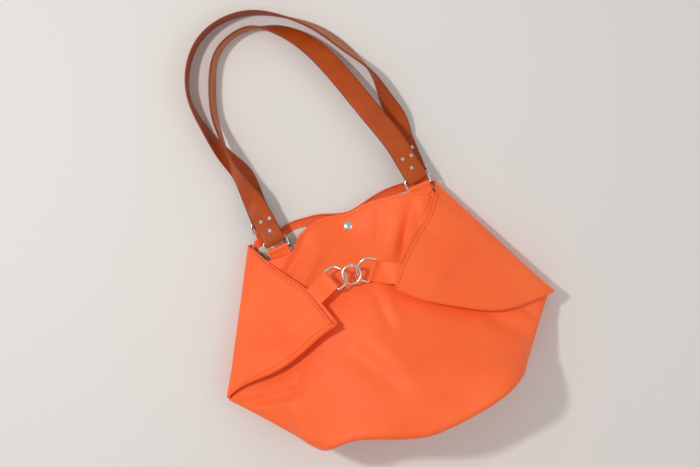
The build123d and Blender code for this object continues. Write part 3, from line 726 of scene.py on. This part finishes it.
def overBody(z, x, y, away, margin):   # keeps a layer clear of the body below it
    least, more, reach = margin
    return np.maximum(z, bodyHeight(x, y) + more * np.clip(away / reach, 0, 1) + least)


def foldedCorner(name, look):
    rows = cornerLook["rows"]
    rim, inner, hem = (evenly(look[line], rows) for line in ("rim", "inner", "hem"))
    along = np.linspace(0, 1, rows)[:, None]
    lifting = 1 - (1 - along) ** 4
    start, direction = rim[0], unit(hem[0] - rim[0])   # the side fold

    def fromSideFold(x, y):
        return np.abs((x - start[0]) * direction[1] - (y - start[1]) * direction[0])

    # top layer
    across = denseStart(*cornerLook["topSteps"])[None, :]
    flat = rim[:, None] * (1 - across[..., None]) + hem[:, None] * across[..., None]
    x, y = flat[..., 0], flat[..., 1]
    away = fromSideFold(x, y)
    bow = look["bulge"] * np.sin(math.pi * along) * np.sin(math.pi * across)
    bow = bow + look["hemLift"] * across * lifting
    z = planeHeight(look, x, y) + bow + bodyForm["foldGain"] * foldHeight(x, y, look["creases"])
    z = overBody(z - rolledFall(away, cornerLook["roll"]), x, y, away, cornerLook["topOver"])
    top = np.stack([x, y, z], 2)

    # a groove at the hem, then the strip that turns under
    stripStops = np.linspace(0, 1, len(look["strip"]))
    beyond = throughPoints(stripStops, look["strip"])(np.linspace(0, 1, rows)) * [1, -1]
    full = np.clip(-beyond[:, 1:] / cornerLook["stripFull"], cornerLook["stripLeast"], 1)
    seam = top[:, -1]
    downward = np.array([0, 0, -1.0])
    strip = [seam + downward * cornerLook["groove"] * full]
    fallShare = cornerLook["flatFall"] + (1 - cornerLook["flatFall"]) * full
    for part, fall in cornerLook["stripTurn"]:
        step = np.concatenate([beyond * part, np.zeros((rows, 1))], 1)
        strip.append(seam + step + downward * fall * fallShare)
    strip = np.stack(strip, 1)

    # lower layer, from the strip's end back to the inner rim
    toStrip = 1 - denseStart(*cornerLook["underSteps"])[None, :, None]
    flat = strip[:, -1:, :2] * toStrip + inner[:, None] * (1 - toStrip)
    x, y = flat[..., 0], flat[..., 1]
    away = fromSideFold(x, y)
    z = planeHeight(look, x, y) + look["bulge"] * np.sin(math.pi * along) * cornerLook["underBulge"]
    z = z - rolledFall(away, cornerLook["roll"]) - look["layerGap"]
    z = z + look["hemLift"] * toStrip[..., 0] * lifting
    z = overBody(z, x, y, away, cornerLook["underOver"])
    blendIn = np.clip(np.linspace(0, cornerLook["underBlend"], toStrip.shape[1]), 0, 1)[None, :]
    under = np.stack([x, y, strip[:, -1:, 2] * (1 - blendIn) + z * blendIn], 2)
    sleeve = np.concatenate([top, strip, under[:, 1:]], 1)

    # the side fold carries on down the bag's side
    skirt = []
    for fall, out in cornerLook["skirt"]:
        lower = sleeve[0].copy()
        lower[:, 2] = lower[:, 2] - fall * (1 + np.clip(lower[:, 2] / cornerLook["skirtFade"], 0, 1))
        lower[:, 2] = np.maximum(lower[:, 2], cornerLook["skirtLowest"])
        lower[:, 0] += look["side"] * out
        skirt.append(lower)
    sleeve = np.concatenate([np.stack(skirt), sleeve], 0)
    corner = sheetPiece(name, sleeve, orange, cornerLook["cloth"], cornerLook["edge"],
                        flip=look["side"] > 0)
    finishPiece(corner, "front", [look["node"]])

    # lining inside the fold, short of the inner rim
    inside = raised(trimmed(under, *cornerLook["liningTrim"]), cornerLook["liningOver"])
    inlay = sheetPiece(name + "Lining", inside, lining, cornerLook["lining"], flip=look["side"] < 0)
    finishPiece(inlay, "front", [])
    return {"outer": (top[:, 0], unit(top[:, 1] - top[:, 0])),
            "inner": (under[:, -1], unit(under[:, -2] - under[:, -1]))}


cornerRims = {name: foldedCorner(name, look) for name, look in corners.items()}
print("folded corners done")

# a ribbon: a flat strip with rounded edges that is swept along a line, for straps, bands and turned rims
ribbonLook = {"edgeRound": 0.45, "edgeAngles": (0, 30, 60, 90), "edgeShare": 0.9, "smoothAngle": 50}


def ribbonPiece(name, centre, widthways, width, thickness, materials, folded=0):
    ahead = unit(np.gradient(centre, axis=0))
    widthways = unit(widthways)
    widthways = unit(widthways - ahead * np.sum(widthways * ahead, 1, keepdims=True))
    facing = unit(np.cross(ahead, widthways))
    halfWidth, halfThick, edge = width / 2, thickness / 2, thickness * ribbonLook["edgeRound"]
    rounding = [(math.cos(angle), math.sin(angle)) for angle in np.radians(ribbonLook["edgeAngles"])]
    half = [(halfWidth - edge + edge * aside, halfThick - edge + edge * up) for aside, up in rounding]
    half += [(aside, halfThick) for aside in (halfWidth / 2, 0, -halfWidth / 2)]
    half += [(-halfWidth + edge - edge * up, halfThick - edge + edge * aside) for aside, up in rounding]
    outline = np.array(half + [(-aside, -up) for aside, up in half] + half[:1])
    aside, up = outline[None, :, :1], outline[None, :, 1:]
    piece = gridPiece(name, centre[:, None] + widthways[:, None] * aside + facing[:, None] * up, materials[0])
    if len(materials) > 1:   # the finished side, the other side and the edges have their own
        for extra in materials[1:]:
            piece.data.materials.append(extra)
        middle = (outline[:-1] + outline[1:]) / 2
        onEdge = np.abs(middle[:, 0]) > halfWidth - edge * ribbonLook["edgeShare"]
        kind = np.where(onEdge, 2, np.where(middle[:, 1] > 0, 0, 1))
        index = np.tile(kind, (len(centre) - 1, 1))
        for end in (index[:folded], index[-folded:]):   # folded back, so both faces show the finished side
            end[end == 1] = 0
        piece.data.polygons.foreach_set("material_index", index.reshape(-1).astype(np.int32))
    startMerged(piece)
    bpy.ops.mesh.select_non_manifold()
    bpy.ops.mesh.fill_holes(sides=0)
    bpy.ops.mesh.select_all(action="SELECT")
    bpy.ops.mesh.normals_make_consistent(inside=False)
    bpy.ops.object.mode_set(mode="OBJECT")
    bpy.ops.object.shade_smooth_by_angle(angle=math.radians(ribbonLook["smoothAngle"]))
    return piece


def ringAxes(azimuth, pitch=0.0, roll=0.0):   # along from bar to far side, the bar's own line, and up
    turn, rise, lean = (math.radians(angle) for angle in (azimuth, pitch, roll))
    along = np.array([math.cos(rise) * math.cos(turn), math.cos(rise) * math.sin(turn), math.sin(rise)])
    sideways = np.array([-math.sin(turn), math.cos(turn), 0])
    bar = sideways * math.cos(lean) + np.cross(along, sideways) * math.sin(lean)
    return along, bar, np.cross(along, bar)


# handle rings: place of the bar, directions, tilt and length of the band's tails, and the strap's turn
rings = {
    "front_left": {"spot": (-95, 122.5, 27), "axes": ringAxes(94.9), "tilt": 14, "tail": 19, "strapTurn": 5},
    "front_right": {"spot": (79, 137.4, 27), "axes": ringAxes(94.9), "tilt": 14, "tail": 15, "strapTurn": 7},
    "back_left": {"spot": (-103, 147, 8), "axes": ringAxes(90), "tilt": 15, "tail": 14.4, "strapTurn": 3},
    "back_right": {"spot": (81, 147, 8), "axes": ringAxes(90), "tilt": 15, "tail": 14.4, "strapTurn": 3},
}

# handle straps: each folds round its two rings, and passes its stops (x, y, z and roll) in between
strapLook = {
    "width": 24.6, "thickness": 2.4, "ringDepth": 15.5, "stations": 420, "folded": 46,
    # the way round a ring's far side: distance before it, and height
    "wrap": [(30, -1.27), (22, -1.27), (14, -1.27), (8, -1.45), (3, -2.3), (-2, -2.85), (-6, -2.65),
             (-8.6, -1.4), (-9.3, 0), (-8.6, 1.4), (-6, 2.65), (-2, 2.85), (3, 2.3), (8, 1.45), (14, 1.27),
             (22, 1.27), (31, 1.27)],
}
# "top" is 1 where the strap leaves its rings on their upper side and -1 on their lower side, and
# "finishedFrom" is how far along the strap its finished side looks up
handles = {
    "frontStrap": {
        "ends": ("front_left", "front_right"), "sense": 1, "top": 1, "finishedFrom": 51.2,
        "body": "front_handle", "node": "front_handle",
        "stops": [(-105, 190, 27.5, 38), (-111, 215, 28, 62), (-114, 240, 28, 82), (-115.5, 264, 21, 95),
                  (-114.5, 290, 14, 100), (-106, 323, 12.6, 100), (-88, 356, 12.6, 95),
                  (-66, 368.5, 12.8, 91), (-42, 370, 14, 88), (-18, 360, 16, 62), (8, 336, 19, 34),
                  (35, 285, 22, 8), (58, 223, 25, 0)]},
    "backStrap": {
        "ends": ("back_left", "back_right"), "sense": -1, "top": -1, "finishedFrom": 70.4,
        "body": "back_handle", "node": "back_handle",
        "stops": [(-107, 216, 8.6, 24), (-116.5, 238, 9.8, 46), (-130, 278, 12.6, 76), (-136, 315, 12.6, 90),
                  (-126, 350, 12.6, 90), (-104, 376, 12.6, 90), (-70, 389, 12.6, 90), (-35, 386, 12.6, 90),
                  (-3, 370, 12.8, 98), (28, 345, 13.6, 112), (54, 309, 13.6, 112), (66, 288, 13.2, 98),
                  (72.5, 270, 12.4, 82), (77, 243, 10.8, 56), (80.5, 216, 8.6, 22)]},
}


def strapEnd(ring, top):   # the strap's way round a ring, and its width direction there
    along, bar, up = ring["axes"]
    far = np.array(ring["spot"]) + along * strapLook["ringDepth"]
    turn = math.radians(ring["strapTurn"])
    along, bar = (line * math.cos(turn) + np.cross([0, 0, 1], line) * math.sin(turn) for line in (along, bar))
    return [far + along * reach + up * height * top for reach, height in strapLook["wrap"]], -bar


def handleStrap(name, look):
    first, last = (rings[end] for end in look["ends"])
    startRun, startBar = strapEnd(first, look["top"])
    finishRun, finishBar = strapEnd(last, look["top"])
    finishRun = finishRun[::-1]
    stops = np.array(look["stops"], float)
    flow = unit(np.gradient(np.concatenate([[startRun[-1]], stops[:, :3], [finishRun[0]]]), axis=0)[1:-1])
    level = unit(np.cross(flow, [0, 0, 1]))
    roll = np.radians(stops[:, 3:] * look["sense"])
    widths = level * np.cos(roll) + np.cross(level, flow) * np.sin(roll)
    centre = np.concatenate([startRun, stops[:, :3], finishRun])
    widthways = np.concatenate([np.tile(startBar, (len(startRun), 1)), widths,
                                np.tile(finishBar, (len(finishRun), 1))])
    for i in range(1, len(widthways)):   # no station's width direction turns over
        if np.dot(widthways[i], widthways[i - 1]) < 0:
            widthways[i] = -widthways[i]
    smooth, length = alongPath(np.concatenate([centre, widthways], 1), strapLook["stations"])
    # the finished side looks up where the strap leaves the first ring
    checked = int(look["finishedFrom"] / length * strapLook["stations"])
    ahead = smooth[checked + 1, :3] - smooth[checked, :3]
    if np.cross(ahead, smooth[checked, 3:])[2] < 0:
        smooth[:, 3:] *= -1
    folded = int(strapLook["folded"] / length * strapLook["stations"])
    strap = ribbonPiece(name, smooth[:, :3], smooth[:, 3:], strapLook["width"], strapLook["thickness"],
                        [strapLeather, strapFlesh, strapEdge], folded)
    finishPiece(strap, look["body"], [look["node"]])
    print(name, "length", round(length))


for name, look in handles.items():
    handleStrap(name, look)

# bands: strips of the shell's cloth, folded round the bars of the rings
bandLook = {
    "width": 24, "thickness": 1.15, "layer": 0.62, "tailBend": 0.6, "stations": 90,
    # the way round a bar: distance towards the ring, and height
    "loop": [(-5, 0.7), (-2.4, 1.35), (-1.2, 1.85), (0, 2.1), (1.5, 1.5), (2.1, 0),
             (1.5, -1.5), (0, -2.1), (-1.2, -1.85), (-2.4, -1.35), (-5, -0.7)],
}


def ringBand(name, ring):   # holds a handle ring at the rim
    along, bar, up = ring["axes"]
    tilt = math.radians(ring["tilt"])
    ahead = along * math.cos(tilt) + up * math.sin(tilt)
    over = up * math.cos(tilt) - along * math.sin(tilt)
    tail, layer = ring["tail"], bandLook["layer"]
    bend = tail * bandLook["tailBend"]
    way = [(-tail, layer), (-bend, layer), *bandLook["loop"], (-bend, -layer), (-tail, -layer)]
    points = [ring["spot"] + ahead * reach + over * height for reach, height in way]
    path = evenly(points, bandLook["stations"])
    band = ribbonPiece(name + "Band", path, np.tile(bar, (len(path), 1)),
                       bandLook["width"], bandLook["thickness"], [orange])
    finishPiece(band, "front" if name.startswith("front") else "back", [name + "_tab"])


for name, ring in rings.items():
    ringBand(name, ring)

# closure bands: each ring's bar and directions, and the place on the corner's edge where the band comes out
closures = {
    "left": {"spot": (-49.24, 69.40, 60.09), "axes": ringAxes(18.57, -12.53, -25.19), "edge": (-75, 58),
             "corner": "leftWing"},
    "right": {"spot": (-2.60, 65.26, 58.93), "axes": ringAxes(149.33, 14.9, -19.98), "edge": (25.5, 51.5),
              "corner": "rightWing"},
}
# "sink" is how far under the corner's top layer the band runs, and "tuckIn" how far it goes in
closureLook = {"sink": 3.5, "tuckIn": 9, "bow": 1.2, "stations": 160}


def closureBand(name, look):   # comes out of a folded corner's edge, round its ring's bar and back in
    along, bar, up = look["axes"]
    spot = np.array(look["spot"])
    corner, layer = corners[look["corner"]], bandLook["layer"]
    slopeX, slopeY = corner["plane"][3:]
    square = unit(np.array([-slopeX, -slopeY, 1.0]))   # straight out of the corner's plane
    edge = np.array([*look["edge"], planeHeight(corner, *look["edge"]) - closureLook["sink"] / square[2]])
    edgeBar = unit(bar - square * np.dot(bar, square))
    inward = unit(np.cross(edgeBar, square))
    if np.dot(inward, edge - spot) < 0:
        inward = -inward
    loopStart = spot + along * bandLook["loop"][0][0]
    middle = raised((loopStart + edge) / 2, closureLook["bow"])
    way = [(edge + inward * closureLook["tuckIn"], square, edgeBar), (edge, square, edgeBar),
           (middle, unit(up + square), unit(bar + edgeBar))]
    stations = [(place + over * layer, across) for place, over, across in way]
    stations += [(spot + along * reach + up * height, bar) for reach, height in bandLook["loop"]]
    stations += [(place - over * layer, across) for place, over, across in way[::-1]]
    smooth = evenly([np.concatenate(station) for station in stations], closureLook["stations"])
    band = ribbonPiece(name + "ClosureBand", smooth[:, :3], smooth[:, 3:],
                       bandLook["width"], bandLook["thickness"], [orange])
    finishPiece(band, "front", [name + "_closure_tab"])


for name, look in closures.items():
    closureBand(name, look)
print("straps and bands done")

# turned rims: a narrow lip along each edge; the lifts are over the sheet that the edge belongs to
rimLook = {"width": 2.8, "thickness": 2.2, "overhang": 0.3, "span": (-90, 86), "stations": 260, "thinned": 3,
           "inwardRow": 6, "cornerFrom": 3, "backTrim": 2,
           "frontLift": -1.5, "innerLift": 0.3, "backLift": 0.35, "outerLift": -0.5}


def rimLip(name, edge, inward, body):
    centre = edge + inward * (rimLook["width"] / 2 - rimLook["overhang"])
    lip = ribbonPiece(name, centre, inward, rimLook["width"], rimLook["thickness"], [orange])
    finishPiece(lip, body, [])


# stitching: short spindles, whose profile is the share of the length and of the thread's thickness
stitchLook = {"pitch": 3.3, "length": 2.2, "thread": 0.26, "inset": 3.6, "margin": 2, "sides": 6,
              "profile": ((0, 0.25), (0.15, 0.8), (0.5, 1), (0.85, 0.8), (1, 0.25)),
              "frontLift": 0.15, "backLift": 0.75, "cornerLift": 0.2, "cornerSeam": (4, -3)}
thread = softMaterial({
    "name": "thread", "dark": (0.62, 0.05, 0.012), "light": (0.80, 0.08, 0.02), "rough": 0.6,
    "specular": 0.3, "grain": 2500.0, "drift": 60.0, "bump": 0.2, "depth": 0.0001})


def stitches(name, edge, inward, lift, body):   # one mesh for a seam
    look, sides = stitchLook, stitchLook["sides"]
    path = raised(edge + inward * look["inset"], lift)
    run = distances(path)
    centres = np.arange(look["margin"], run[-1] - look["margin"], look["pitch"])
    starts = pointsAt(centres - look["length"] / 2, run, path)
    ends = pointsAt(centres + look["length"] / 2, run, path)
    points, faces = [], []
    for start, end in zip(starts, ends):
        along = unit(end - start)
        aside = unit(np.cross(along, [0, 0, 1.0]))
        up = np.cross(aside, along)
        first = len(points)
        for share, size in look["profile"]:
            for turn in range(sides):
                angle = turn * 2 * math.pi / sides
                offset = (aside * math.cos(angle) + up * math.sin(angle)) * look["thread"] * size
                points.append(start + (end - start) * share + offset)
        last = len(points) - sides
        for low in range(first, last, sides):
            for turn in range(sides):
                after = (turn + 1) % sides
                faces.append((low + turn, low + after, low + sides + after, low + sides + turn))
        faces.append(tuple(first + turn for turn in reversed(range(sides))))
        faces.append(tuple(last + turn for turn in range(sides)))
    finishPiece(meshPiece(name, points, faces, thread), body, [])


# front rim, whose lip carries on round the right corner's inner edge
rimRow, belowRim = shellGrid[0], shellGrid[rimLook["inwardRow"]]
seen = (rimRow[:, 0] > rimLook["span"][0]) & (rimRow[:, 0] < rimLook["span"][1])
frontRow, frontInward = rimRow[seen], unit(belowRim[seen] - rimRow[seen])
cornerRow, cornerInward = (line[rimLook["cornerFrom"]:] for line in cornerRims["rightWing"]["inner"])
edge = np.concatenate([raised(frontRow, rimLook["frontLift"]), raised(cornerRow, rimLook["innerLift"])])
inward = np.concatenate([frontInward, cornerInward])
lipWay = np.concatenate([edge, inward], 1)[::rimLook["thinned"]]
smooth = evenly(lipWay, rimLook["stations"])
rimLip("frontRimLip", smooth[:, :3], unit(smooth[:, 3:]), "front")
stitches("frontRimStitches", frontRow, frontInward, stitchLook["frontLift"], "front")

backRow = raised(backGrid[0], rimLook["backLift"])
towardsBase = np.tile([0, -1.0, 0], (len(backRow), 1))
within = slice(rimLook["backTrim"], -rimLook["backTrim"])
rimLip("backRimLip", backRow[within], towardsBase[within], "back")
stitches("backRimStitches", backFacingGrid[0], towardsBase, stitchLook["backLift"], "back")

seam = slice(*stitchLook["cornerSeam"])
for name, edges in cornerRims.items():
    outer, outerInward = edges["outer"]
    rimLip(name + "RimLip", raised(outer, rimLook["outerLift"]), outerInward, "front")
    stitches(name + "Stitches", outer[seam], outerInward[seam], stitchLook["cornerLift"], "front")
    if name == "leftWing":
        innerRow, innerInward = edges["inner"]
        rimLip("leftInnerLip", raised(innerRow, rimLook["innerLift"]), innerInward, "front")
print("rims done")

# snap cap: a low dome on the front, whose steps are the way inwards and the rise
capLook = {"centre": (-12, 121), "foot": 9.9, "radius": 5.5, "rim": 1.0, "tilt": 8, "sides": 48,
           "steps": [(0.35, 0.25), (0.8, 0.55), (1.2, 0.45), (1.4, 0.25), (1.2, 0.08)],
           "facesUp": 0.9, "smoothAngle": 40}
bpy.ops.mesh.primitive_cylinder_add(vertices=capLook["sides"], radius=capLook["radius"] * mm,
                                    depth=capLook["rim"] * mm)
cap = bpy.context.object
cap.name = cap.data.name = "snapCap"
bpy.ops.object.mode_set(mode="EDIT")
bpy.ops.mesh.select_all(action="DESELECT")
bpy.ops.object.mode_set(mode="OBJECT")
for face in cap.data.polygons:
    face.select = face.normal.z > capLook["facesUp"]
bpy.ops.object.mode_set(mode="EDIT")
for step, rise in capLook["steps"]:
    bpy.ops.mesh.inset(thickness=step * mm, depth=rise * mm)
bpy.ops.object.mode_set(mode="OBJECT")
cap.rotation_euler = (math.radians(-capLook["tilt"]), 0, 0)
cap.location = [place * mm for place in (*capLook["centre"], capLook["foot"])]
makeActive(cap)
bpy.ops.object.transform_apply(location=True, rotation=True, scale=True)
bpy.ops.object.shade_smooth_by_angle(angle=math.radians(capLook["smoothAngle"]))
cap.data.materials.append(nickel)
finishPiece(cap, "front", ["snap_front_cap"])
print("snap cap done")

# metal parts that are shown as they are in CAD
metalNodes = ["left_d_ring", "right_d_ring", "link_ring", "link_gate", "gate_pin",
              "snap_stud", "snap_back_cap", "snap_socket"]
for name in rings:
    metalNodes += [name + "_ring", name + "_rivets"]
for name in metalNodes:
    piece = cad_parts[name]
    piece.data.materials.clear()
    piece.data.materials.append(nickel)
print("metal done")
